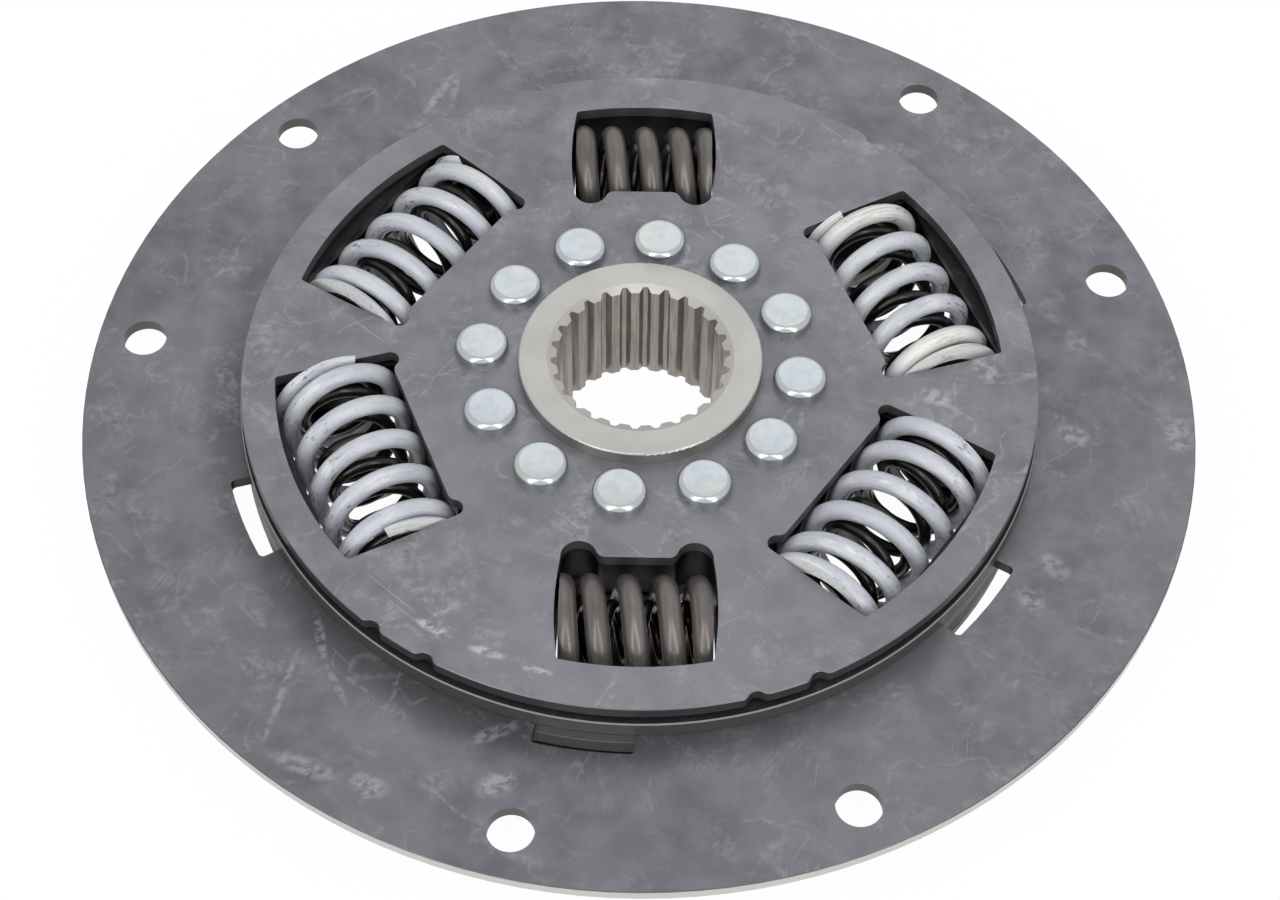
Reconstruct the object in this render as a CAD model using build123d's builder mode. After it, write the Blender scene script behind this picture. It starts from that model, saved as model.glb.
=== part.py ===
from build123d import *
from math import ceil, cos, hypot, radians, sin, sqrt, tan
import os

# Torsional damper for a diesel driveline, in millimetres.
# Origin: the centre of the drive plate's front face. +Z runs along the axis to the front.

# Drive plate, which bolts to the flywheel
plate_diameter = 350.0
plate_thickness = 4.0
plate_edge_break = 0.3
bolt_hole_diameter = 13.8
bolt_edge_distance = 15.0
bolt_pair_count = 3
bolt_pair_angle = 35.65
bolt_pair_half_spread = 18.0
slot_count = 6
slot_first_angle = 23.5
slot_arc = 13.4
slot_width = 6.1
slot_corner_radius = 1.6

# Carrier discs, one on each face of the drive plate
carrier_thickness = 6.0
carrier_step = 0.8
carrier_edge_break = 0.4
carrier_rivet_diameter = 8.0
carrier_rivet_head_diameter = 12.0
carrier_rivet_offset = 13.7
carrier_rivet_angles = [59.6, 113.8, 173.5, 239.6, 293.8, 353.5]

# Side plates, riveted to the hub flange
side_plate_thickness = 4.0
side_plate_rim_width = 10.65
side_plate_inner_land = 12.3
side_plate_edge_break = 0.3
notch_radius = 3.0
notch_depth = 2.0
notch_mouth_radius = 2.5
notch_pair_angles = [56.3, 110.8, 236.3, 290.8]
notch_pair_half_spread = 4.45

# Hub with its internal spline
hub_wall = 10.05
hub_front_projection = 4.7
hub_rear_projection = 7.5
hub_edge_break = 0.7
spline_teeth = 26
spline_minor_diameter = 52.4
spline_groove_depth = 1.9
spline_groove_mouth = 3.7
spline_groove_tip = 1.4
spline_first_groove_angle = 4.18
spline_lead_in = 1.1

# Hub rivets
hub_rivet_count = 12
hub_rivet_first_angle = 23.6
hub_rivet_neck_gap = 3.95
hub_rivet_flange_edge = 1.9
hub_rivet_diameter = 10.0
hub_rivet_head_diameter = 16.0
hub_rivet_head_height = 3.7
hub_rivet_head_round = 1.2

# Friction rings, between the carrier discs and the side plates
friction_ring_thickness = 3.0
friction_ring_width = 5.8

# Springs: four long main pairs and two short stage pairs, each an outer and an inner coil
main_coil_diameter = 40.8
stage_coil_diameter = 37.0
main_angles = [22.4, 144.8, 202.4, 324.8]
main_length = 66.2
main_wire = 6.0
main_turns = 6.1
main_mid_angles = [129.0, 48.0, 95.0, 260.0]
main_inner_turns = 8.1
main_inner_mid_angles = [196.0, 255.0, 317.0, 113.0]
stage_angles = [90.0, 270.0]
stage_length = 45.3
stage_wire = 7.2
stage_turns = 5.16
stage_mid_angles = [40.0, 53.0]
stage_inner_turns = 5.6
stage_inner_mid_angles = [20.0, 20.0]
inner_wire = 4.0
closed_turns = 0.75
ramp_turns = 0.5
outer_wire_sides = 8
outer_steps_per_turn = 14
inner_wire_sides = 5
inner_steps_per_turn = 9

# Spring windows: side slant, side bow and the round relief in each inner corner
main_side_slant = 5.3
main_side_bow = 0.2
main_relief_radius = 2.9
stage_side_slant = 0.0
stage_side_bow = 1.3
stage_relief_radius = 5.5
relief_blend_radius = 3.0
window_corner_radius = 1.2

# Clearances
running_clearance = 0.3
friction_clearance = 0.05
rivet_clearance = 0.05
nested_coil_clearance = 0.4
spring_end_clearance = 0.1
spring_side_clearance = 0.4
cover_floor_clearance = 0.85
cover_top_clearance = 0.35

# Heights from the middle of the drive plate that follow from the sizes above
middle = Plane.XY.offset(-plate_thickness / 2)
carrier_reach = plate_thickness / 2 + carrier_thickness
flange_reach = carrier_reach + friction_ring_thickness + friction_clearance
cover_reach = flange_reach + side_plate_thickness
hub_front_reach = cover_reach + hub_front_projection
hub_rear_reach = cover_reach + hub_rear_projection
hub_length = hub_front_reach + hub_rear_reach

# Radii that follow, from the spline outwards
spline_root_radius = spline_minor_diameter / 2
spline_tip_radius = spline_root_radius + spline_groove_depth
lead_in_radius = spline_tip_radius + spline_lead_in
hub_radius = spline_tip_radius + hub_wall
hub_rivet_circle_radius = hub_radius + hub_rivet_neck_gap + hub_rivet_head_diameter / 2
hub_flange_radius = (
    hub_rivet_circle_radius + hub_rivet_head_diameter / 2 + hub_rivet_flange_edge
)
carrier_bore_radius = hub_flange_radius + running_clearance
main_coil_radius = main_coil_diameter / 2
cover_chord = sqrt(main_coil_radius**2 - flange_reach**2)
cover_window_floor = hub_flange_radius + side_plate_inner_land
spring_circle_radius = cover_window_floor + cover_floor_clearance + cover_chord
cover_window_top = spring_circle_radius + cover_chord + cover_top_clearance
carrier_window_floor = spring_circle_radius - main_coil_radius - spring_side_clearance
carrier_window_top = spring_circle_radius + main_coil_radius + spring_side_clearance
carrier_rivet_circle_radius = spring_circle_radius + carrier_rivet_offset


def ring_places(radius, angles):
    """Points on a circle about the axis."""
    return [(radius * cos(radians(angle)), radius * sin(radians(angle))) for angle in angles]


def window_corners(length, slant, floor, top):
    """A window's two corners on the +X side: against the foot of the spring, and outside it."""
    floor_half = length / 2 + spring_end_clearance
    top_half = floor_half + (top - floor) * tan(radians(slant))
    return (floor_half, floor), (top_half, top)


def window_outline(length, slant, bow, relief_radius, floor, top):
    """One spring window, centred on +Y, with its sides against the ends of the spring."""
    floor_corner, top_corner = window_corners(length, slant, floor, top)
    floor_half = floor_corner[0]
    side_middle = ((floor_half + top_corner[0]) / 2 + bow, (floor + top) / 2)
    relief_bottom = (floor_half - relief_radius, floor - relief_radius)
    relief_inner = (floor_half - 2 * relief_radius, floor)
    with BuildSketch() as outline:
        with BuildLine():
            Line((0, floor), relief_inner)
            ThreePointArc(relief_inner, relief_bottom, floor_corner)
            ThreePointArc(floor_corner, side_middle, top_corner)
            RadiusArc(top_corner, (0, hypot(*top_corner)), -hypot(*top_corner))
            mirror(about=Plane.YZ)
        make_face()
        relief_ends = outline.vertices().group_by(lambda vertex: abs(vertex.X))[0]
        fillet(relief_ends, relief_blend_radius)
        fillet(outline.vertices().group_by(Axis.Y)[-1], window_corner_radius)
    return outline.sketch


def window_pattern(floor, top):
    """All the spring windows of one plate, from the height floor to outer corners at top."""
    main = window_outline(
        main_length, main_side_slant, main_side_bow, main_relief_radius, floor, top
    )
    stage = window_outline(
        stage_length, stage_side_slant, stage_side_bow, stage_relief_radius, floor, top
    )
    with BuildSketch() as pattern:
        for angle in main_angles:
            add(main, rotation=angle - 90)
        for angle in stage_angles:
            add(stage, rotation=angle - 90)
    return pattern.sketch


carrier_windows = window_pattern(carrier_window_floor, carrier_window_top)
cover_windows = window_pattern(cover_window_floor, cover_window_top)
carrier_rivet_places = ring_places(carrier_rivet_circle_radius, carrier_rivet_angles)
cover_corner = window_corners(
    main_length, main_side_slant, cover_window_floor, cover_window_top
)[1]
side_plate_radius = hypot(*cover_corner) + side_plate_rim_width
carrier_radius = side_plate_radius + carrier_step

os.makedirs("parts", exist_ok=True)

# One slot of the drive plate, on +X, against the wall of the carrier disc
with BuildSketch() as slot:
    with BuildLine():
        inner_edge = CenterArc((0, 0), carrier_radius, -slot_arc / 2, slot_arc)
        outer_edge = CenterArc((0, 0), carrier_radius + slot_width, -slot_arc / 2, slot_arc)
        Line(inner_edge @ 0, outer_edge @ 0)
        Line(inner_edge @ 1, outer_edge @ 1)
    make_face()
    fillet(slot.vertices().group_by(Axis.X)[-1], slot_corner_radius)

# Drive plate
bolt_circle_radius = plate_diameter / 2 - bolt_edge_distance
with BuildPart() as drive_plate:
    with BuildSketch(Plane.XY.offset(-plate_thickness)):
        Circle(plate_diameter / 2)
        Circle(carrier_bore_radius, mode=Mode.SUBTRACT)
        add(carrier_windows, mode=Mode.SUBTRACT)
        for side in (-1, 1):
            start = bolt_pair_angle + side * bolt_pair_half_spread
            with PolarLocations(bolt_circle_radius, bolt_pair_count, start):
                Circle(bolt_hole_diameter / 2, mode=Mode.SUBTRACT)
        for number in range(slot_count):
            turn = slot_first_angle + number * 360 / slot_count
            add(slot.sketch, rotation=turn, mode=Mode.SUBTRACT)
        with Locations(*carrier_rivet_places):
            Circle(carrier_rivet_diameter / 2 + rivet_clearance, mode=Mode.SUBTRACT)
    extrude(amount=plate_thickness)
    chamfer(drive_plate.edges().sort_by(SortBy.LENGTH)[-2:], plate_edge_break)
drive_plate.part.label = "drive_plate"
export_step(drive_plate.part, "parts/drive_plate.step")

# Carrier discs, with a countersunk hole for each flush rivet
countersink_depth = (carrier_rivet_head_diameter - carrier_rivet_diameter) / 2
with BuildPart() as front_carrier_disc:
    with BuildSketch():
        Circle(carrier_radius)
        Circle(carrier_bore_radius, mode=Mode.SUBTRACT)
        add(carrier_windows, mode=Mode.SUBTRACT)
    extrude(amount=carrier_thickness)
    chamfer(front_carrier_disc.edges().sort_by(SortBy.LENGTH)[-2:], carrier_edge_break)
    with Locations(*[(x, y, carrier_thickness) for x, y in carrier_rivet_places]):
        CounterSinkHole(
            carrier_rivet_diameter / 2 + rivet_clearance,
            carrier_rivet_head_diameter / 2 + rivet_clearance,
            counter_sink_angle=90,
        )
front_carrier_disc.part.label = "front_carrier_disc"
export_step(front_carrier_disc.part, "parts/front_carrier_disc.step")

with BuildPart() as rear_carrier_disc:
    mirror(front_carrier_disc.part, about=middle)
rear_carrier_disc.part.label = "rear_carrier_disc"
export_step(rear_carrier_disc.part, "parts/rear_carrier_disc.step")

# Flush rivets that hold the carrier discs to the drive plate
with BuildPart() as carrier_rivets:
    with BuildSketch(middle):
        with Locations(*carrier_rivet_places):
            Circle(carrier_rivet_diameter / 2)
    extrude(amount=carrier_reach, both=True)
    with BuildSketch(middle.offset(carrier_reach)):
        with Locations(*carrier_rivet_places):
            Circle(carrier_rivet_head_diameter / 2)
    extrude(amount=-countersink_depth, taper=45)
    mirror(about=middle)
carrier_rivets.part.label = "carrier_rivets"
export_step(carrier_rivets.part, "parts/carrier_rivets.step")

# Side plates: windows, rivet holes and pairs of small round notches in the rim
notch_places = ring_places(
    side_plate_radius - notch_depth + notch_radius,
    [angle + side * notch_pair_half_spread for angle in notch_pair_angles for side in (-1, 1)],
)
with BuildPart() as front_side_plate:
    with BuildSketch(middle.offset(flange_reach)) as side_plate_outline:
        Circle(side_plate_radius)
        with Locations(*notch_places):
            Circle(notch_radius, mode=Mode.SUBTRACT)
        mouths = side_plate_outline.vertices().filter_by(
            lambda vertex: any(hypot(vertex.X - x, vertex.Y - y) < notch_radius + 0.01
                               for x, y in notch_places)
        )
        fillet(mouths, notch_mouth_radius)
        Circle(hub_radius + rivet_clearance, mode=Mode.SUBTRACT)
        add(cover_windows, mode=Mode.SUBTRACT)
        with PolarLocations(hub_rivet_circle_radius, hub_rivet_count, hub_rivet_first_angle):
            Circle(hub_rivet_diameter / 2 + rivet_clearance, mode=Mode.SUBTRACT)
    extrude(amount=side_plate_thickness)
    front_face = front_side_plate.faces().sort_by(Axis.Z)[-1]
    chamfer(front_face.outer_wire().edges(), side_plate_edge_break)
front_side_plate.part.label = "front_side_plate"
export_step(front_side_plate.part, "parts/front_side_plate.step")

with BuildPart() as rear_side_plate:
    mirror(front_side_plate.part, about=middle)
rear_side_plate.part.label = "rear_side_plate"
export_step(rear_side_plate.part, "parts/rear_side_plate.step")

# Hub: flange between the side plates, a neck through each, longer to the rear, and the splined bore
spline_base_radius = sqrt(spline_root_radius**2 - (spline_groove_mouth / 2) ** 2)
with BuildPart() as splined_hub:
    with BuildSketch(middle.offset(-hub_rear_reach)):
        Circle(hub_radius)
    extrude(amount=hub_length)
    fillet(splined_hub.edges().filter_by(GeomType.CIRCLE), hub_edge_break)
    with BuildSketch(middle):
        Circle(hub_flange_radius)
    extrude(amount=flange_reach, both=True)
    with PolarLocations(hub_rivet_circle_radius, hub_rivet_count, hub_rivet_first_angle):
        Hole(hub_rivet_diameter / 2 + rivet_clearance)
    with BuildSketch(middle.offset(-hub_rear_reach)):
        Circle(spline_root_radius)
        with PolarLocations(0, spline_teeth, spline_first_groove_angle):
            Polygon(
                (spline_base_radius, -spline_groove_mouth / 2),
                (spline_tip_radius, -spline_groove_tip / 2),
                (spline_tip_radius, spline_groove_tip / 2),
                (spline_base_radius, spline_groove_mouth / 2),
                align=None,
            )
    extrude(amount=hub_length, mode=Mode.SUBTRACT)
    for end_face, inwards in ((hub_front_reach, -1), (-hub_rear_reach, 1)):
        with BuildSketch(middle.offset(end_face)):
            Circle(lead_in_radius)
        depth = lead_in_radius - spline_root_radius
        extrude(amount=inwards * depth, taper=45, mode=Mode.SUBTRACT)
splined_hub.part.label = "splined_hub"
export_step(splined_hub.part, "parts/splined_hub.step")

# Hub rivets, through both side plates and the flange
for number in range(hub_rivet_count):
    angle = hub_rivet_first_angle + number * 360 / hub_rivet_count
    place = ring_places(hub_rivet_circle_radius, [angle])[0]
    name = f"hub_rivet_{number + 1:02d}"
    with BuildPart() as hub_rivet:
        with BuildSketch(middle):
            with Locations(place):
                Circle(hub_rivet_diameter / 2)
        extrude(amount=cover_reach)
        with BuildSketch(middle.offset(cover_reach)):
            with Locations(place):
                Circle(hub_rivet_head_diameter / 2)
        extrude(amount=hub_rivet_head_height)
        fillet(hub_rivet.edges().sort_by(Axis.Z)[-1], hub_rivet_head_round)
        mirror(about=middle)
    hub_rivet.part.label = name
    export_step(hub_rivet.part, f"parts/{name}.step")

# Friction rings, round the hub flange
for name, plane in (
    ("front_friction_ring", middle.offset(flange_reach - friction_ring_thickness)),
    ("rear_friction_ring", middle.offset(-flange_reach)),
):
    with BuildPart() as friction_ring:
        with BuildSketch(plane):
            Circle(carrier_bore_radius + friction_ring_width)
            Circle(carrier_bore_radius, mode=Mode.SUBTRACT)
        extrude(amount=friction_ring_thickness)
    friction_ring.part.label = name
    export_step(friction_ring.part, f"parts/{name}.step")


def spring_seat(angle, length):
    """The plane of a spring's first ground end: x points outwards, y forwards, z clockwise."""
    outward = Vector(1, 0).rotate(Axis.Z, angle)
    clockwise = Vector(0, -1).rotate(Axis.Z, angle)
    centre = outward * spring_circle_radius + middle.origin
    return Plane(origin=centre - clockwise * (length / 2), x_dir=outward, z_dir=clockwise)


def coil_spring(seat, length, coil_radius, wire, turns, mid_angle, hand, sides, steps):
    """A compression spring with closed and ground ends, standing on its seat.

    The wire leaves the ground end at its own thickness per turn and ramps to the full pitch.
    mid_angle is where the wire stands at half length. hand is 1 for a right-hand coil.
    """
    dead_rise = wire * (closed_turns - 0.25 + ramp_turns / 2)
    pitch = (length / 2 - dead_rise) / (turns / 2 - closed_turns - ramp_turns / 2)

    def rise(turn):
        if turn > turns / 2:
            return length - rise(turns - turn)
        ramp = min(max(turn - closed_turns, 0), ramp_turns)
        full = max(turn - closed_turns - ramp_turns, 0)
        gain = (pitch - wire) * ramp**2 / (2 * ramp_turns)
        return wire * (min(turn, closed_turns + ramp_turns) - 0.25) + gain + pitch * full

    mean_radius = coil_radius - wire / 2
    step_count = ceil(turns * steps)
    points = []
    for step in range(step_count + 1):
        turn = turns * step / step_count
        angle = radians(mid_angle + hand * 360 * (turn - turns / 2))
        local = (mean_radius * cos(angle), mean_radius * sin(angle), rise(turn))
        points.append(seat.from_local_coords(local))
    with BuildPart() as spring:
        with BuildLine() as path:
            Polyline(*points)
        first = path.edges()[0]
        with BuildSketch(Plane(origin=first @ 0, z_dir=first % 0)):
            RegularPolygon(wire / 2, sides)
        sweep(path=path.wires()[0], transition=Transition.RIGHT)
        split(bisect_by=seat, keep=Keep.TOP)
        split(bisect_by=seat.offset(length), keep=Keep.BOTTOM)
    return spring


def spring_pair(
    name, number, angle, length, coil_radius, wire, turns, mid_angle, inner_turns, inner_mid
):
    """An outer coil and the coil nested in it, wound the other way."""
    seat = spring_seat(angle, length)
    outer_coil = coil_spring(
        seat, length, coil_radius, wire, turns, mid_angle, 1,
        outer_wire_sides, outer_steps_per_turn,
    )
    outer_coil.part.label = f"{name}_spring_{number}"
    export_step(outer_coil.part, f"parts/{outer_coil.part.label}.step")
    inner_coil = coil_spring(
        seat, length, coil_radius - wire - nested_coil_clearance, inner_wire,
        inner_turns, inner_mid, -1, inner_wire_sides, inner_steps_per_turn,
    )
    inner_coil.part.label = f"{name}_inner_spring_{number}"
    export_step(inner_coil.part, f"parts/{inner_coil.part.label}.step")


main_places = zip(main_angles, main_mid_angles, main_inner_mid_angles)
for number, (angle, mid_angle, inner_mid) in enumerate(main_places, start=1):
    spring_pair(
        "main", number, angle, main_length, main_coil_radius, main_wire, main_turns, mid_angle,
        main_inner_turns, inner_mid,
    )
stage_places = zip(stage_angles, stage_mid_angles, stage_inner_mid_angles)
for number, (angle, mid_angle, inner_mid) in enumerate(stage_places, start=1):
    spring_pair(
        "stage", number, angle, stage_length, stage_coil_diameter / 2, stage_wire, stage_turns,
        mid_angle, stage_inner_turns, inner_mid,
    )
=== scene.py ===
from math import cos, pi, radians, sin, sqrt

import bpy
from mathutils import Matrix, Vector


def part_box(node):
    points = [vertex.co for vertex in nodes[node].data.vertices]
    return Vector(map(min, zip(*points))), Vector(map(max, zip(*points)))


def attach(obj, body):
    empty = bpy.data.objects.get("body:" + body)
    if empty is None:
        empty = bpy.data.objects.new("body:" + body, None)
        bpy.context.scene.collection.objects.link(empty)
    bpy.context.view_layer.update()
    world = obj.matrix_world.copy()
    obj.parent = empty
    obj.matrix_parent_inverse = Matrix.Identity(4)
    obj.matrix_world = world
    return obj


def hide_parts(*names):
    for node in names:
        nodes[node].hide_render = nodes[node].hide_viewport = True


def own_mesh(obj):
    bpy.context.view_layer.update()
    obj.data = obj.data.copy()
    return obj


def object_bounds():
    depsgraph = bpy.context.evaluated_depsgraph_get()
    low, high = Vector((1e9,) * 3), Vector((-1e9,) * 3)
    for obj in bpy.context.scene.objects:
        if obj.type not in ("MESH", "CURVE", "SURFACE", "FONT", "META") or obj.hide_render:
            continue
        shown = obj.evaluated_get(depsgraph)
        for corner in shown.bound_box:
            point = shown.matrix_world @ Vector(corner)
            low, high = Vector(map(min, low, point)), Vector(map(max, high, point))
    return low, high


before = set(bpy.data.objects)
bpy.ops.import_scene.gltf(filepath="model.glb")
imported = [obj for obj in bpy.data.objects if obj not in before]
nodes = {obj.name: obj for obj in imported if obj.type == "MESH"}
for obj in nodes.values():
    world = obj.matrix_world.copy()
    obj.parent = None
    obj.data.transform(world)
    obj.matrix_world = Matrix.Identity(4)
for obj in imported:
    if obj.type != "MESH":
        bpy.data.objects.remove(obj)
cad_low, cad_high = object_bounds()
MM = 0.001

# The photograph's camera: its lens, where it stands and its small roll
PHOTO_WIDTH, PHOTO_HEIGHT = 1280, 900
FOCAL_PIXELS = 2651.7
OPTICAL_CENTRE = (639.85, 390.13)
CAMERA_DISTANCE = 839.9 * MM
CAMERA_ELEVATION = radians(52.624)
CAMERA_ROLL = radians(0.979)
SENSOR_WIDTH = 36.0

# The springs, as they stand in the windows
SPRING_CIRCLE = 90.3 * MM
MIDDLE_HEIGHT = -2.0 * MM
MAIN_COIL_RADIUS = 20.4 * MM
STAGE_COIL_RADIUS = 18.5 * MM
MAIN_ANGLES = (22.4, 144.8, 202.4, 324.8)
MAIN_PHASES = (129.0, 48.0, 95.0, 260.0)
MAIN_LENGTH = 66.2 * MM
MAIN_WIRE = 6.0 * MM
MAIN_TURNS = 6.1
MAIN_INNER_PHASES = (196.0, 255.0, 317.0, 113.0)
MAIN_INNER_TURNS = 8.1
STAGE_ANGLES = (90.0, 270.0)
STAGE_PHASES = (40.0, 53.0)
STAGE_LENGTH = 45.3 * MM
STAGE_WIRE = 7.2 * MM
STAGE_TURNS = 5.16
STAGE_INNER_PHASES = (20.0, 20.0)
STAGE_INNER_TURNS = 5.6
INNER_WIRE = 4.0 * MM
NESTED_GAP = 0.4 * MM
CLOSED_TURNS = 0.75
RAMP_TURNS = 0.5
GROUND_SHARE = 0.25
WIRE_SIDES = 20
STEPS_PER_TURN = 48

# Meshes: the sharpest edge that is shaded smooth, how far apart points count as one, how far off
# a place may lie, and how upright the normal of a level face stands
SMOOTH_ANGLE = radians(40)
HUB_SMOOTH_ANGLE = radians(20)
JOIN_DISTANCE = 0.001 * MM
TOLERANCE = 0.01 * MM
LEVEL = 0.999

# The hub rivets' heads and the spline's lead-ins, as the CAD has them and as they are finished
RIVET_ROUND = 1.2 * MM
RIVET_FULL_ROUND = 2.1 * MM
RIVET_SWELL = 0.4 * MM
LEAD_IN_RADIUS = 29.3 * MM
LEAD_IN_DEPTH = 3.1 * MM
LEAD_IN_SHARE = 0.4

# The carrier discs' long windows: the room beside the spring, and where the arc it closes lies
WINDOW_ROOM = 1.6 * MM
WINDOW_SIDE_HALF = 34.0 * MM
WINDOW_ARC_RADIUS = 118.0 * MM

# Ends of the long springs where the paint went on thick: place in mm, length, width and turn
CHALKY_ENDS = ((72, 64, 44, 26, 22), (95, 6, 44, 26, 22), (-52, 82, 34, 22, 145))

# The side of the drive plate where painted shade lies along the carrier step: its middle in mm, length
# and width
SHADED_SIDE = (-70, -75, 330, 330)

# Rubbed spots on the plates: their place in mm, length, width, turn and strength
PLATE_MARKS = (
    (-103, -115, 42, 3, 77, 0.5), (-93, -94, 23, 4, -77, 0.5), (-87, -110, 21, 3, -62, 0.4),
    (-94, -137, 31, 8, -21, 0.5), (-75, -143, 16, 9, -22, 0.6), (-39, -142, 16, 10, 25, 0.7),
    (-40, -125, 23, 6, 25, 0.5), (136, -15, 14, 9, -31, 0.6), (126, -64, 16, 9, -45, 0.5),
    (118, -77, 14, 9, -58, 0.5), (169, -14, 16, 10, 80, 0.4), (-71, 128, 30, 4, 64, 0.6),
    (-66, 130, 21, 4, 87, 0.5), (-9, 140, 20, 10, -11, 0.4))
COVER_MARKS = (
    (-59, -98, 16, 4, -27, 0.9), (-43, -106, 14, 4, -18, 0.9), (-28, -112, 12, 3, -15, 0.8),
    (-56, -92, 12, 3, 39, 0.5), (108, 0, 13, 9, -54, 0.5), (92, -11, 14, 9, -16, 0.5))

# The studio: half the floor's side, and how bright the white is to the eye and as light
FLOOR_HALF = 3.0
SHOWN_STRENGTH, FILL_STRENGTH = 1.0, 0.55


def deselect_all():
    bpy.ops.object.select_all(action="DESELECT")


def linear(code):
    """The linear colour of an sRGB hex value."""
    channels = [int(code[start:start + 2], 16) / 255 for start in (1, 3, 5)]
    return *(c / 12.92 if c <= 0.04045 else ((c + 0.055) / 1.055) ** 2.4 for c in channels), 1.0


def add(tree, kind, inputs=(), **settings):
    """Adds a node with its settings. inputs pairs each socket with a value or with what feeds it."""
    node = tree.nodes.new(kind)
    for name, value in settings.items():
        setattr(node, name, value)
    for socket, value in dict(inputs).items():
        if isinstance(value, bpy.types.NodeSocket):
            tree.links.new(value, node.inputs[socket])
        else:
            node.inputs[socket].default_value = value
    return node


# Materials

def new_material(name, metallic, roughness):
    """A material whose shader has these plain values, and its node tree."""
    material = bpy.data.materials.new(name)
    material.use_nodes = True
    shader = material.node_tree.nodes["Principled BSDF"]
    shader.inputs["Metallic"].default_value = metallic
    shader.inputs["Roughness"].default_value = roughness
    return material, material.node_tree, shader


def ramp(tree, value, low, high):
    """A mask that rises softly from 0 to 1 as the value goes from low to high."""
    return add(tree, "ShaderNodeMapRange", {"Value": value, "From Min": low, "From Max": high},
               interpolation_type="SMOOTHSTEP").outputs[0]


def cloud(tree, place, size, low, high, turn=0.0, detail=3.0, shift=0.0, distortion=0.0):
    """A mask of soft patches. size is a patch's length, width and depth in mm.

    The mask is 0 where the noise is under low and 1 where it is over high.
    """
    length, width, depth = (edge * MM for edge in size)
    spot = add(tree, "ShaderNodeMapping", {
        "Vector": place, "Location": (shift, shift, 0), "Rotation": (0, 0, radians(turn)),
        "Scale": (length, width, depth)}, vector_type="TEXTURE")
    noise = add(tree, "ShaderNodeTexNoise", {
        "Vector": spot.outputs[0], "Scale": 1.0, "Detail": detail, "Roughness": 0.6,
        "Distortion": distortion})
    return ramp(tree, noise.outputs[0], low, high)


def smudge(tree, place, x, y, length, width, turn=0.0):
    """A mask that is 1 at x, y in mm and fades to 0 at the edge of an ellipse about it."""
    spot = add(tree, "ShaderNodeMapping", {
        "Vector": place, "Location": (x * MM, y * MM, 0), "Rotation": (0, 0, radians(turn)),
        "Scale": (length / 2 * MM, width / 2 * MM, 1)}, vector_type="TEXTURE")
    reach = add(tree, "ShaderNodeVectorMath", {0: spot.outputs[0]}, operation="LENGTH")
    return ramp(tree, reach.outputs["Value"], 1.0, 0.4)


def wandering_lines(tree, place, size, width, shift):
    """A mask of soft lines that wander, where a cloud in mm crosses its own middle."""
    side = cloud(tree, place, (size,) * 3, 0.5 - width, 0.5 + width, shift=shift, detail=2.0)
    other_side = add(tree, "ShaderNodeMath", {0: 1.0, 1: side}, operation="SUBTRACT").outputs[0]
    return product(tree, side, other_side, 4.0)


def product(tree, *values):
    """The masks multiplied together."""
    result = values[0]
    for value in values[1:]:
        result = add(tree, "ShaderNodeMath", {0: result, 1: value}, operation="MULTIPLY").outputs[0]
    return result


def most_of(tree, values):
    """The highest of the masks."""
    result = values[0]
    for value in values[1:]:
        result = add(tree, "ShaderNodeMath", {0: result, 1: value}, operation="MAXIMUM").outputs[0]
    return result


def paint_over(tree, under, over, mask, strength=1.0):
    """The colour under, with the colour over laid on by the mask."""
    share = product(tree, mask, strength)
    return add(tree, "ShaderNodeMix", {0: share, 6: under, 7: over}, data_type="RGBA").outputs[2]


def facing_up(tree, low, high):
    """A mask that is 1 where the true normal's height is between low and high."""
    normal = add(tree, "ShaderNodeNewGeometry").outputs["True Normal"]
    height = add(tree, "ShaderNodeSeparateXYZ", {0: normal}).outputs[2]
    size = add(tree, "ShaderNodeMath", {0: height}, operation="ABSOLUTE").outputs[0]
    middle, half = (low + high) / 2, (high - low) / 2
    return add(tree, "ShaderNodeMath", {0: size, 1: middle, 2: half}, operation="COMPARE").outputs[0]


def object_place(tree):
    return add(tree, "ShaderNodeTexCoord").outputs["Object"]


def axis_distance(tree, place):
    """How far a point is from the damper's axis."""
    level = add(tree, "ShaderNodeVectorMath", {0: place, 1: (1.0, 1.0, 0.0)}, operation="MULTIPLY")
    return add(tree, "ShaderNodeVectorMath", {0: level.outputs[0]}, operation="LENGTH").outputs["Value"]


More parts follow.
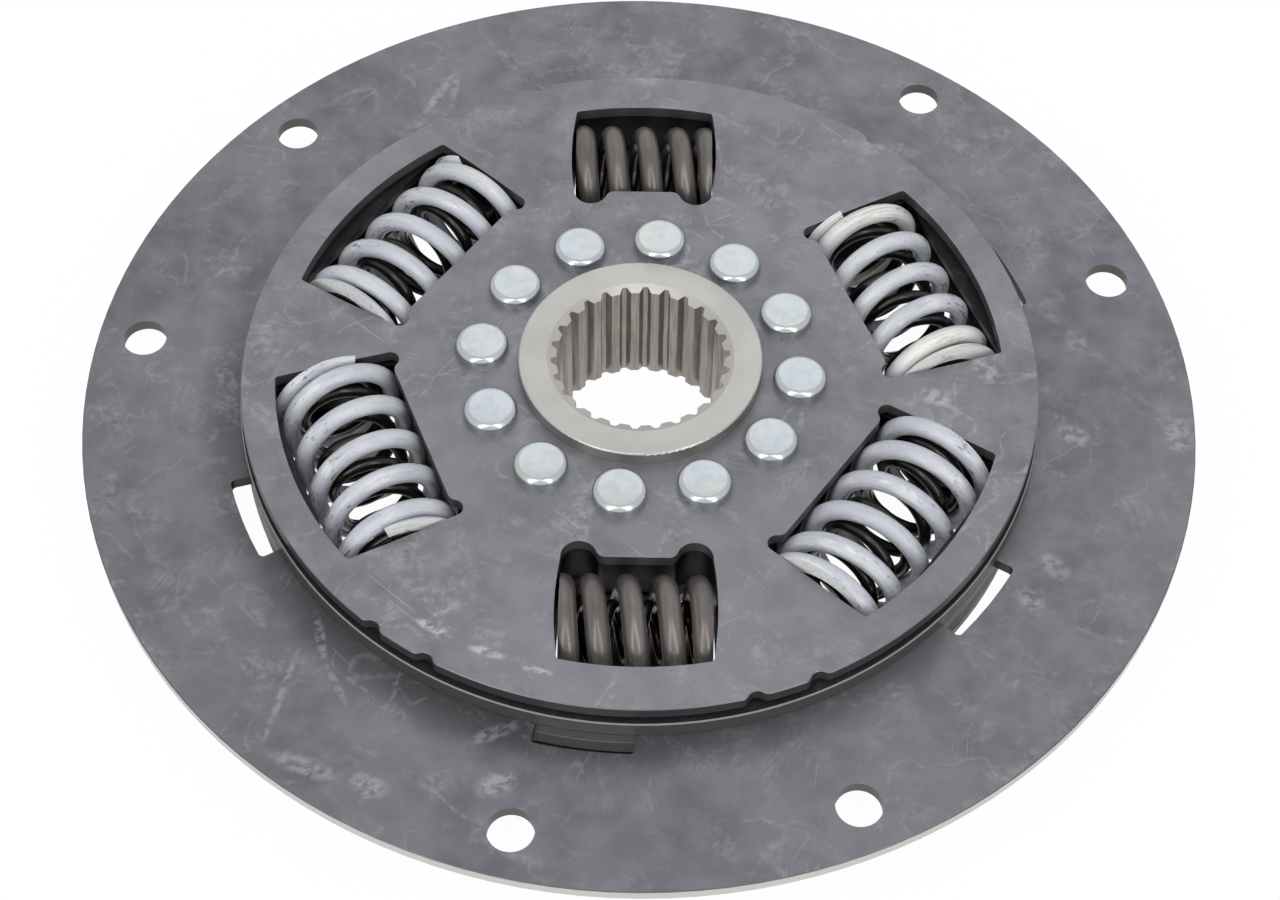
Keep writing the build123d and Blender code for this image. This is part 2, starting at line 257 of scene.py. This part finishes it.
def phosphated_steel(name, sheen, ground, pale, walls, wall_rings, shade_radius, marks, seed):
    """Sheet steel, stamped, phosphated and oiled. sheen is its metallic and its specular level.

    Thin zinc phosphate lets the steel's own sheen through, and with little sheen the sheet is matt; the
    carrier's near-black colours are painted shade.

    The phosphate gives a matt slate grey with soft clouds. Handling rubs it to paler, bluer
    blotches with fine strokes in them, and edges and bumps leave thin straight scratches.
    walls are the colours of the cut walls and the broken edges, and wall_rings the colours of
    the walls from a radius in mm outwards; dark walls are painted shade in the hollows, and a light
    edge is worn steel and a painted highlight. Inside shade_radius on one side the fourth ground
    colour lays on painted shade by the carrier step, and marks are the larger rubbed spots, each
    with its place, size, turn and strength.
    """
    metallic, specular = sheen
    material, tree, shader = new_material(name, metallic, 0.46)
    shader.inputs["Specular IOR Level"].default_value = specular
    place = object_place(tree)
    flat = facing_up(tree, 0.9, 1.1)
    edge = facing_up(tree, 0.25, 0.9)

    clouds = cloud(tree, place, (60, 60, 60), 0.35, 0.65, shift=seed, detail=3.0)
    colour = paint_over(tree, linear(ground[0]), linear(ground[1]), clouds)
    mottle = cloud(tree, place, (11, 11, 11), 0.32, 0.68, shift=seed, detail=7.0)
    colour = paint_over(tree, colour, linear(ground[2]), mottle, 0.4)
    distance = axis_distance(tree, place)
    # Painted shade: the fourth ground colour darkens the plate inside shade_radius on the lower left,
    # by the carrier step
    step = ramp(tree, distance, shade_radius * MM, (shade_radius - 10) * MM)
    shaded_side = smudge(tree, place, *SHADED_SIDE)
    colour = paint_over(tree, colour, linear(ground[3]), product(tree, step, shaded_side), 0.6)

    strokes = cloud(tree, place, (5, 0.9, 5), 0.4, 0.66, turn=62 + seed, detail=5.0)
    cross_strokes = cloud(tree, place, (6, 1.2, 6), 0.4, 0.66, turn=-24 + seed, detail=5.0)
    grainy = cloud(tree, place, (2.4, 2.4, 2.4), 0.38, 0.64, detail=6.0)
    for size, low, high, texture, strength in (
            (19, 0.52, 0.68, grainy, 0.5), (30, 0.57, 0.7, strokes, 0.4),
            (15, 0.58, 0.7, cross_strokes, 0.4)):
        blotch = cloud(tree, place, (size,) * 3, low, high, shift=seed + size, detail=6.0,
                       distortion=0.5)
        colour = paint_over(tree, colour, linear(pale[0]), product(tree, blotch, texture), strength)
    rubbed = most_of(tree, [
        product(tree, smudge(tree, place, x, y, length, width, turn), strength)
        for x, y, length, width, turn, strength in marks])
    ragged = cloud(tree, place, (3.2, 2.4, 3.2), 0.38, 0.58, turn=20, detail=6.0)
    colour = paint_over(tree, colour, linear(pale[1]), product(tree, rubbed, ragged))
    patches = cloud(tree, place, (26, 26, 26), 0.46, 0.6, shift=seed + 5)
    for number, size in enumerate((38, 61)):
        trail = wandering_lines(tree, place, size, 0.012, seed + 7 * number)
        colour = paint_over(
            tree, colour, linear(pale[1]), product(tree, trail, ragged, patches), 0.28)

    for number, (turn, length, width) in enumerate((
            (20, 20, 0.3), (-48, 26, 0.35), (83, 16, 0.3))):
        scratch = cloud(tree, place, (length, width, length), 0.74, 0.84, turn=turn + seed,
                        shift=number, detail=0.5)
        colour = paint_over(tree, colour, linear(pale[2]), product(tree, scratch, patches), 0.5)
    flecks = cloud(tree, place, (0.9, 0.7, 0.9), 0.73, 0.79, turn=40, detail=1.0)
    colour = paint_over(tree, colour, linear(pale[2]), flecks, 0.4)

    # Painted shade: the dark wall colours stand in for the shade on walls in the damper's hollows
    wall = linear(walls[0])
    for radius, code in wall_rings:
        ring = ramp(tree, distance, (radius - 0.2) * MM, (radius + 0.2) * MM)
        wall = paint_over(tree, wall, linear(code), ring)
    colour = paint_over(tree, wall, colour, flat)
    # Broken edges; the carrier's light edge line is worn steel and a painted highlight
    colour = paint_over(tree, colour, linear(walls[1]), edge)
    tree.links.new(colour, shader.inputs["Base Color"])

    gloss = add(tree, "ShaderNodeMapRange", {"Value": mottle, "To Min": 0.5, "To Max": 0.42})
    tree.links.new(gloss.outputs[0], shader.inputs["Roughness"])
    # The coat's crystals, drawn coarse enough to show
    grain = add(tree, "ShaderNodeTexNoise", {"Vector": place, "Scale": 1 / (0.8 * MM), "Detail": 3.0})
    bump = add(tree, "ShaderNodeBump", {
        "Height": grain.outputs[0], "Strength": 0.1, "Distance": 0.05 * MM})
    tree.links.new(bump.outputs[0], shader.inputs["Normal"])
    return material


def turned_steel():
    """Steel, turned and broached, then barrel finished.

    Tumbling leaves a warm, even satin on the faces. Fine rings of the turning tool still show
    at a glancing angle, and the broached flanks are streaked along the bore and painted a
    little darker as the bore's shade.
    """
    material, tree, shader = new_material("turned_and_tumbled_steel", 0.85, 0.38)
    place = object_place(tree)
    flat = facing_up(tree, 0.9, 1.1)
    upright = facing_up(tree, -0.1, 0.2)

    broad = cloud(tree, place, (20, 20, 20), 0.35, 0.65, detail=2.0)
    colour = paint_over(tree, linear("#A8A6A4"), linear("#AFADAA"), broad)
    specks = cloud(tree, place, (0.7, 0.7, 0.7), 0.71, 0.76, detail=1.0)
    colour = paint_over(tree, colour, linear("#8E8985"), specks, 0.35)
    # The flanks' darker tone is painted shade of the bore; their streaks are broaching marks
    streaks = cloud(tree, place, (1.2, 1.2, 16), 0.35, 0.65, detail=3.0)
    drawn = paint_over(tree, linear("#8C867F"), linear("#A49E98"), streaks)
    colour = paint_over(tree, colour, drawn, upright)
    outside = ramp(tree, axis_distance(tree, place), 36 * MM, 37 * MM)
    colour = paint_over(tree, colour, linear("#A09B97"), product(tree, upright, outside))
    tree.links.new(colour, shader.inputs["Base Color"])

    # The turning tool's rings, drawn coarse enough to show
    ring_place = add(tree, "ShaderNodeCombineXYZ", {0: axis_distance(tree, place)})
    rings = add(tree, "ShaderNodeTexNoise", {
        "Vector": ring_place.outputs[0], "Scale": 1 / (0.35 * MM), "Detail": 2.0})
    ring_height = product(tree, rings.outputs[0], flat)
    bump = add(tree, "ShaderNodeBump", {
        "Height": ring_height, "Strength": 0.04, "Distance": 0.03 * MM})
    tree.links.new(bump.outputs[0], shader.inputs["Normal"])
    return material


def zinc_plate():
    """Steel rivets, cold headed and zinc plated.

    The plating is bright and slightly blue, with a faint warm stain on some heads and a soft
    orange-peel that breaks up the reflections.
    """
    material, tree, shader = new_material("bright_zinc_plate", 0.9, 0.26)
    place = object_place(tree)
    stain = cloud(tree, place, (13, 13, 13), 0.42, 0.62, detail=2.0)
    colour = paint_over(tree, linear("#AFB5BB"), linear("#B5B9B7"), stain)
    haze = cloud(tree, place, (4, 4, 4), 0.4, 0.7, shift=4.0, detail=4.0)
    colour = paint_over(tree, colour, linear("#A7AEB3"), haze, 0.5)
    specks = cloud(tree, place, (0.6, 0.6, 0.6), 0.72, 0.76, detail=1.0)
    colour = paint_over(tree, colour, linear("#8F959B"), specks, 0.3)
    tree.links.new(colour, shader.inputs["Base Color"])
    gloss = add(tree, "ShaderNodeMapRange", {"Value": haze, "To Min": 0.2, "To Max": 0.28})
    tree.links.new(gloss.outputs[0], shader.inputs["Roughness"])
    peel = add(tree, "ShaderNodeTexNoise", {"Vector": place, "Scale": 1 / (3.0 * MM), "Detail": 1.0})
    bump = add(tree, "ShaderNodeBump", {
        "Height": peel.outputs[0], "Strength": 0.1, "Distance": 0.08 * MM})
    tree.links.new(bump.outputs[0], shader.inputs["Normal"])
    return material


def wire_place(tree):
    """Where a point lay on the straight wire before it was coiled, from the piece's attribute."""
    return add(tree, "ShaderNodeAttribute", attribute_name="straight_wire").outputs["Vector"]


def painted_wire():
    """Spring wire under a thin sprayed coat of pale blue-grey paint.

    The paint is satin and even, chalky cream at some ends where it went on thick, and knocked
    through to dark steel in small scuffs on the outer side that run along the wire.
    """
    material, tree, shader = new_material("pale_spring_paint", 0.0, 0.4)
    along = wire_place(tree)
    place = object_place(tree)
    tone = cloud(tree, along, (18, 6, 6), 0.35, 0.65, detail=3.0)
    colour = paint_over(tree, linear("#B7BAC3"), linear("#C4C6CD"), tone)
    thick = most_of(tree, [smudge(tree, place, *spot) for spot in CHALKY_ENDS])
    streaks = cloud(tree, along, (16, 0.9, 0.9), 0.46, 0.62, shift=2.0, detail=4.0)
    colour = paint_over(tree, colour, linear("#E4E4DC"), thick, 0.85)
    colour = paint_over(tree, colour, linear("#96989D"), product(tree, thick, streaks), 0.6)
    bloom = cloud(tree, along, (9, 3, 3), 0.52, 0.66, detail=6.0)
    colour = paint_over(tree, colour, linear("#DADCDA"), bloom, 0.6)
    rub = cloud(tree, along, (9, 1.2, 1.2), 0.54, 0.66, shift=3.0, detail=5.0)
    colour = paint_over(tree, colour, linear("#989DA9"), rub, 0.45)
    outside = ramp(tree, axis_distance(tree, place), 96 * MM, 103 * MM)
    chips = cloud(tree, along, (3.4, 1.2, 1.2), 0.56, 0.61, shift=7.0, detail=5.0)
    chip_area = cloud(tree, place, (11, 11, 11), 0.45, 0.53, shift=9.0)
    colour = paint_over(
        tree, colour, linear("#66637A"), product(tree, chips, chip_area, outside), 0.85)
    nicks = cloud(tree, along, (2.4, 0.6, 0.6), 0.7, 0.73, shift=5.0, detail=2.0)
    colour = paint_over(tree, colour, linear("#6A6B78"), nicks, 0.7)
    tree.links.new(colour, shader.inputs["Base Color"])
    runs = add(tree, "ShaderNodeTexNoise", {"Vector": along, "Scale": 1 / (2.5 * MM), "Detail": 3.0})
    bump = add(tree, "ShaderNodeBump", {
        "Height": runs.outputs[0], "Strength": 0.2, "Distance": 0.15 * MM})
    tree.links.new(bump.outputs[0], shader.inputs["Normal"])
    return material


def painted_ground_end():
    """The springs' ground ends, painted over.

    The coarse grinding marks run across, and the coat is thick and off-white between them.
    """
    material, tree, shader = new_material("painted_ground_end", 0.0, 0.55)
    place = object_place(tree)
    marks = cloud(tree, place, (9, 0.7, 0.7), 0.4, 0.65, turn=20, detail=3.0)
    colour = paint_over(tree, linear("#EAECE9"), linear("#C6CACB"), marks, 0.7)
    smear = cloud(tree, place, (6, 2, 6), 0.58, 0.68, turn=35, detail=4.0)
    colour = paint_over(tree, colour, linear("#85868E"), smear, 0.5)
    tree.links.new(colour, shader.inputs["Base Color"])
    return material


def oil_tempered_wire(name, dark, light, drawn_out, metallic, roughness):
    """Bare spring wire, drawn and oil tempered.

    Tempering leaves a tight brown-black oxide, glossy with oil, and drawing leaves faint lines
    along the wire, so that lamps show as long streaks.
    """
    material, tree, shader = new_material(name, metallic, roughness)
    along = wire_place(tree)
    tone = cloud(tree, along, (30, 5, 5), 0.35, 0.65, detail=3.0)
    colour = paint_over(tree, linear(dark), linear(light), tone)
    drawn = cloud(tree, along, (25, 0.7, 0.7), 0.45, 0.7, detail=2.0)
    colour = paint_over(tree, colour, linear(drawn_out), drawn, 0.35)
    dust = cloud(tree, along, (0.5, 0.5, 0.5), 0.74, 0.78, detail=1.0)
    colour = paint_over(tree, colour, linear("#B9B4AE"), dust, 0.5)
    tree.links.new(colour, shader.inputs["Base Color"])
    # The drawing die's lines, drawn coarse enough to show
    lines = add(tree, "ShaderNodeMapping", {
        "Vector": along, "Scale": (14 * MM, 0.5 * MM, 0.5 * MM)}, vector_type="TEXTURE")
    die = add(tree, "ShaderNodeTexNoise", {"Vector": lines.outputs[0], "Scale": 1.0, "Detail": 2.0})
    bump = add(tree, "ShaderNodeBump", {
        "Height": die.outputs[0], "Strength": 0.12, "Distance": 0.05 * MM})
    tree.links.new(bump.outputs[0], shader.inputs["Normal"])
    return material


def friction_lining():
    """A moulded organic lining: matt near-black with short paler fibres."""
    material, tree, shader = new_material("moulded_friction_lining", 0.0, 0.8)
    place = object_place(tree)
    grain = cloud(tree, place, (1.5, 1.5, 1.5), 0.35, 0.65, detail=4.0)
    colour = paint_over(tree, linear("#2B2724"), linear("#3B3631"), grain)
    fibres = cloud(tree, place, (3.0, 0.4, 0.4), 0.62, 0.68, turn=30, detail=1.0)
    colour = paint_over(tree, colour, linear("#6B5F4D"), fibres, 0.6)
    tree.links.new(colour, shader.inputs["Base Color"])
    return material


def studio_floor():
    """White paper. Where the camera and reflections see it, it glows, and keeps a soft shadow."""
    material = bpy.data.materials.new("white_paper")
    material.use_nodes = True
    tree = material.node_tree
    tree.nodes.clear()
    paper = add(tree, "ShaderNodeBsdfDiffuse", {"Color": linear("#FFFFFF")})
    glow = add(tree, "ShaderNodeEmission", {"Color": linear("#FFFFFF")})
    glowing = add(tree, "ShaderNodeMixShader", {0: 0.97, 1: paper.outputs[0], 2: glow.outputs[0]})
    grey = add(tree, "ShaderNodeBsdfDiffuse", {"Color": linear("#7A7A7A")})
    seen = seen_directly(tree)
    shown = add(tree, "ShaderNodeMixShader", {
        0: seen, 1: grey.outputs[0], 2: glowing.outputs[0]})
    add(tree, "ShaderNodeOutputMaterial", {"Surface": shown.outputs[0]})
    return material


def seen_directly(tree):
    """1 for what the camera, a reflection or a look through glass sees, and 0 for other light."""
    path = add(tree, "ShaderNodeLightPath")
    kinds_of_ray = ("Is Camera Ray", "Is Glossy Ray", "Is Transmission Ray")
    return most_of(tree, [path.outputs[kind] for kind in kinds_of_ray])


# Pieces

def make_coil(name, wire, coil_radius, length, turns, hand):
    """A coil spring that stands on the XY plane, with closed and ground ends.

    The wire leaves the ground end at its own thickness per turn and ramps to the full pitch. At
    its very tip its middle lies GROUND_SHARE of its thickness past the grinding.
    """
    dead_rise = wire * (CLOSED_TURNS - GROUND_SHARE + RAMP_TURNS / 2)
    pitch = (length / 2 - dead_rise) / (turns / 2 - CLOSED_TURNS - RAMP_TURNS / 2)

    def rise(turn):
        if turn > turns / 2:
            return length - rise(turns - turn)
        ramp = min(max(turn - CLOSED_TURNS, 0), RAMP_TURNS)
        full = max(turn - CLOSED_TURNS - RAMP_TURNS, 0)
        gain = (pitch - wire) * ramp**2 / (2 * RAMP_TURNS)
        closed = min(turn, CLOSED_TURNS + RAMP_TURNS)
        return wire * (closed - GROUND_SHARE) + gain + pitch * full

    mean_radius = coil_radius - wire / 2
    deselect_all()
    bpy.ops.mesh.primitive_circle_add(
        vertices=WIRE_SIDES, radius=wire / 2, location=(mean_radius, 0, 0), rotation=(pi / 2, 0, 0))
    coil = bpy.context.object
    coil.name = name
    bpy.ops.object.transform_apply(location=True, rotation=True, scale=True)
    winding = coil.modifiers.new("winding", "SCREW")
    winding.angle = hand * 2 * pi * turns
    winding.steps = winding.render_steps = round(turns * STEPS_PER_TURN)
    bpy.ops.object.modifier_apply(modifier=winding.name)

    mesh = coil.data
    steps = len(mesh.vertices) // WIRE_SIDES - 1
    straight = mesh.attributes.new("straight_wire", "FLOAT_VECTOR", "POINT")
    for index, vertex in enumerate(mesh.vertices):
        turn = turns * (index // WIRE_SIDES) / steps
        across = vertex.co.to_2d().length - mean_radius
        straight.data[index].vector = (2 * pi * mean_radius * turn, across, vertex.co.z)
        vertex.co.z += rise(turn)

    bpy.ops.object.mode_set(mode="EDIT")
    bpy.ops.mesh.select_all(action="DESELECT")
    bpy.ops.mesh.select_non_manifold()
    bpy.ops.mesh.fill_holes(sides=WIRE_SIDES)
    bpy.ops.mesh.select_all(action="SELECT")
    bpy.ops.mesh.normals_make_consistent(inside=False)
    for height, upwards in ((0, 1), (length, -1)):
        bpy.ops.mesh.select_all(action="SELECT")
        bpy.ops.mesh.bisect(
            plane_co=(0, 0, height), plane_no=(0, 0, upwards), use_fill=True, clear_inner=True)
    bpy.ops.object.mode_set(mode="OBJECT")
    for face in mesh.polygons:
        at_end = min(abs(face.center.z), abs(face.center.z - length)) < TOLERANCE
        if at_end and abs(face.normal.z) > LEVEL:
            face.material_index = 1
    bpy.ops.object.shade_smooth_by_angle(angle=SMOOTH_ANGLE)
    return coil


def place_coil(coil, name, node, angle, length, phase, turns, hand, finishes):
    """Copies a coil into its window, turned so that its middle turn stands at its phase."""
    piece = bpy.data.objects.new(name, coil.data.copy())
    bpy.context.scene.collection.objects.link(piece)
    outward = Vector((cos(radians(angle)), sin(radians(angle)), 0))
    clockwise = Vector((sin(radians(angle)), -cos(radians(angle)), 0))
    centre = outward * SPRING_CIRCLE + Vector((0, 0, MIDDLE_HEIGHT))
    seat = Matrix.Translation(centre - clockwise * length / 2) @ Matrix(
        (outward, (0, 0, 1), clockwise)).transposed().to_4x4()
    turn = Matrix.Rotation(radians(phase) - hand * pi * turns, 4, "Z")
    piece.data.transform(seat @ turn)
    for finish in finishes:
        piece.data.materials.append(finish)
    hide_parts(node)
    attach(piece, "spring_set")
    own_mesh(piece)
    return piece


def joined_copy(name, body):
    """A copy of a CAD node, its loose triangles joined, that stands for the node."""
    piece = bpy.data.objects.new(f"{name}_finished", nodes[name].data.copy())
    bpy.context.scene.collection.objects.link(piece)
    deselect_all()
    piece.select_set(True)
    bpy.context.view_layer.objects.active = piece
    bpy.ops.object.mode_set(mode="EDIT")
    bpy.ops.mesh.select_all(action="SELECT")
    bpy.ops.mesh.remove_doubles(threshold=JOIN_DISTANCE)
    bpy.ops.mesh.customdata_custom_splitnormals_clear()
    bpy.ops.object.mode_set(mode="OBJECT")
    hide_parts(name)
    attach(piece, body)
    return piece


def swell_rivet_heads(piece, low, high):
    """Gives both heads the cold header's full round rim, which the CAD only hints at."""
    axis = (low + high).to_2d() / 2
    head_radius = (high.x - low.x) / 2
    for vertex in piece.data.vertices:
        out = vertex.co.to_2d() - axis
        if out.length < head_radius - RIVET_ROUND - TOLERANCE:
            continue
        outward, end = (1, high.z) if vertex.co.z > (low.z + high.z) / 2 else (-1, low.z)
        inside = (head_radius - out.length) * RIVET_FULL_ROUND / RIVET_ROUND
        below = (end - vertex.co.z) * outward
        if below < RIVET_ROUND + TOLERANCE:
            vertex.co.z = end - outward * below * RIVET_FULL_ROUND / RIVET_ROUND
        spot = axis + out.normalized() * (head_radius + RIVET_SWELL - inside)
        vertex.co.x, vertex.co.y = spot
    bpy.ops.object.shade_smooth_by_angle(angle=SMOOTH_ANGLE)


def flatten_lead_ins(piece, low, high):
    """Makes the lead-in at each end of the spline as shallow as the teeth's outline shows it."""
    for vertex in piece.data.vertices:
        if vertex.co.to_2d().length > LEAD_IN_RADIUS:
            continue
        for end in (low.z, high.z):
            if abs(vertex.co.z - end) < LEAD_IN_DEPTH:
                vertex.co.z = end + (vertex.co.z - end) * LEAD_IN_SHARE
    bpy.ops.object.shade_smooth_by_angle(angle=HUB_SMOOTH_ANGLE)


def straighten_windows(piece):
    """Draws the arc on the outer side of each long window in, to follow the spring's roundness."""
    for angle in MAIN_ANGLES:
        outward = Vector((cos(radians(angle)), sin(radians(angle))))
        for vertex in piece.data.vertices:
            spot = vertex.co.to_2d()
            out = spot.dot(outward)
            along = (spot - outward * out).length
            height = vertex.co.z - MIDDLE_HEIGHT
            side = SPRING_CIRCLE + sqrt(MAIN_COIL_RADIUS**2 - height**2) + WINDOW_ROOM
            if out > side and along < WINDOW_SIDE_HALF and spot.length < WINDOW_ARC_RADIUS:
                vertex.co.x, vertex.co.y = spot + outward * (side - out)
    bpy.ops.object.shade_smooth_by_angle(angle=SMOOTH_ANGLE)


def place_camera():
    """The camera stands on the photograph's line of sight and looks at the plate's centre."""
    data = bpy.data.cameras.new("photo_camera")
    data.sensor_width = SENSOR_WIDTH
    data.lens = FOCAL_PIXELS * SENSOR_WIDTH / PHOTO_WIDTH
    data.shift_x = (PHOTO_WIDTH / 2 - OPTICAL_CENTRE[0]) / PHOTO_WIDTH
    data.shift_y = (OPTICAL_CENTRE[1] - PHOTO_HEIGHT / 2) / PHOTO_WIDTH
    camera = bpy.data.objects.new("photo_camera", data)
    bpy.context.scene.collection.objects.link(camera)
    back = Vector((0, -cos(CAMERA_ELEVATION), sin(CAMERA_ELEVATION)))
    facing = (-back).to_track_quat("-Z", "Y").to_matrix().to_4x4()
    roll = Matrix.Rotation(CAMERA_ROLL, 4, "Z")
    camera.matrix_world = Matrix.Translation(back * CAMERA_DISTANCE) @ facing @ roll
    bpy.context.scene.camera = camera


def add_lamp(name, azimuth, elevation, distance, width, height, power):
    """A soft box that faces the damper. Azimuth 0 is the camera's side and 90 the right."""
    data = bpy.data.lights.new(name, "AREA")
    data.shape = "RECTANGLE"
    data.size, data.size_y = width, height
    data.energy = power
    lamp = bpy.data.objects.new(name, data)
    bpy.context.scene.collection.objects.link(lamp)
    level = cos(radians(elevation))
    away = Vector((sin(radians(azimuth)) * level, -cos(radians(azimuth)) * level,
                   sin(radians(elevation))))
    lamp.matrix_world = Matrix.Translation(away * distance) @ (
        away.to_track_quat("Z", "Y").to_matrix().to_4x4())


place_camera()

# Finishes
# The drive plate: its fourth ground colour is painted shade by the carrier step, and its near-black
# walls inside 122 mm and dark walls out to 140 mm are painted shade
sheet = phosphated_steel(
    "phosphated_drive_plate", (0.75, 0.5), ("#606066", "#706F75", "#808086", "#424244"),
    ("#909498", "#9C9FA3", "#ACAFB2"), ("#0E0D0D", "#5E5D5C"),
    ((122, "#3E3D3D"), (140, "#5C5B5A"), (174, "#CFCDCB")), 141, PLATE_MARKS, 0.0)
cover_sheet = phosphated_steel(
    "phosphated_side_plate", (0.75, 0.5), ("#6A6A6F", "#78787E", "#88888E", "#6A6A6F"),
    ("#9B9EA1", "#ADB1B3", "#B9BCBE"), ("#605F60", "#6E6E70"), ((122, "#4A4A4B"),), 0,
    COVER_MARKS, 7.0)
# The carrier: its near-black colours and walls are painted shade for the damper's dark inside, and its
# light edge colour is worn steel and a painted highlight
carrier_sheet_and_shade = phosphated_steel(
    "phosphated_carrier", (0.0, 0.15), ("#1E1E20", "#262628", "#2E2E30", "#1E1E20"),
    ("#3C3E40", "#46494B", "#56585A"), ("#0C0B0B", "#848380"), ((122, "#464543"),), 0,
    COVER_MARKS, 13.0)
hub_steel = turned_steel()
zinc = zinc_plate()
lining = friction_lining()
pale_finish = (painted_wire(), painted_ground_end())
stage_wire = oil_tempered_wire(
    "oil_tempered_stage_wire", "#575250", "#676260", "#837D79", 0.45, 0.34)
# The nested wire: dark oxide, made near black as painted shade in the gaps between the coils
nested_wire_and_shade = oil_tempered_wire(
    "oil_tempered_nested_wire", "#110E0D", "#1C1816", "#38322C", 0.3, 0.26)

finishes = {
    "drive_plate": sheet, "front_side_plate": cover_sheet, "rear_side_plate": cover_sheet,
    "front_carrier_disc": carrier_sheet_and_shade, "rear_carrier_disc": carrier_sheet_and_shade,
    "carrier_rivets": carrier_sheet_and_shade, "splined_hub": hub_steel,
    "front_friction_ring": lining, "rear_friction_ring": lining,
}
for name, node in nodes.items():
    if name in finishes or name.startswith("hub_rivet"):
        node.data.materials.clear()
        node.data.materials.append(finishes.get(name, zinc))
for name in list(nodes):
    if name.startswith("hub_rivet"):
        swell_rivet_heads(joined_copy(name, "hub_assembly"), *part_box(name))
flatten_lead_ins(joined_copy("splined_hub", "hub_assembly"), *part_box("splined_hub"))
for name in ("front_carrier_disc", "rear_carrier_disc"):
    straighten_windows(joined_copy(name, "drive_assembly"))

# The springs: name, wire, coil radius, length, turns, hand, places, phases, finishes and slot
kinds = (
    ("main_spring", MAIN_WIRE, MAIN_COIL_RADIUS, MAIN_LENGTH, MAIN_TURNS, 1,
     MAIN_ANGLES, MAIN_PHASES, pale_finish, "pale_spring"),
    ("main_inner_spring", INNER_WIRE, MAIN_COIL_RADIUS - MAIN_WIRE - NESTED_GAP, MAIN_LENGTH,
     MAIN_INNER_TURNS, -1, MAIN_ANGLES, MAIN_INNER_PHASES, (nested_wire_and_shade,) * 2, "dark_spring"),
    ("stage_spring", STAGE_WIRE, STAGE_COIL_RADIUS, STAGE_LENGTH, STAGE_TURNS, 1,
     STAGE_ANGLES, STAGE_PHASES, (stage_wire,) * 2, "dark_spring"),
    ("stage_inner_spring", INNER_WIRE, STAGE_COIL_RADIUS - STAGE_WIRE - NESTED_GAP, STAGE_LENGTH,
     STAGE_INNER_TURNS, -1, STAGE_ANGLES, STAGE_INNER_PHASES, (nested_wire_and_shade,) * 2, "dark_spring"),
)
for kind, wire, coil_radius, length, turns, hand, angles, phases, kind_finishes, slot in kinds:
    coil = make_coil(f"{kind}_model", wire, coil_radius, length, turns, hand)
    for number, (angle, phase) in enumerate(zip(angles, phases), start=1):
        place_coil(coil, f"{kind}_coil_{number}", f"{kind}_{number}", angle, length, phase,
                   turns, hand, kind_finishes)
    bpy.data.objects.remove(coil)

# The studio: white paper under the damper, white all round, and three soft boxes
deselect_all()
bpy.ops.mesh.primitive_plane_add(size=2 * FLOOR_HALF, location=(0, 0, cad_low.z))
floor = bpy.context.object
floor.name = "paper_floor"
floor.data.materials.append(studio_floor())

world = bpy.data.worlds.new("white_studio")
bpy.context.scene.world = world
world.use_nodes = True
world.node_tree.nodes.clear()
strength = add(world.node_tree, "ShaderNodeMapRange", {
    "Value": seen_directly(world.node_tree), "To Min": FILL_STRENGTH, "To Max": SHOWN_STRENGTH})
background = add(world.node_tree, "ShaderNodeBackground", {
    "Color": linear("#FFFFFF"), "Strength": strength.outputs[0]})
add(world.node_tree, "ShaderNodeOutputWorld", {"Surface": background.outputs[0]})

add_lamp("left_front_strip", -36, 42, 1.8, 0.24, 2.7, 15)
add_lamp("right_front_strip", 36, 42, 1.8, 0.24, 2.7, 15)
add_lamp("back_box", 172, 47, 1.9, 1.3, 0.85, 2.0)

bpy.context.scene.view_settings.view_transform = "Standard"
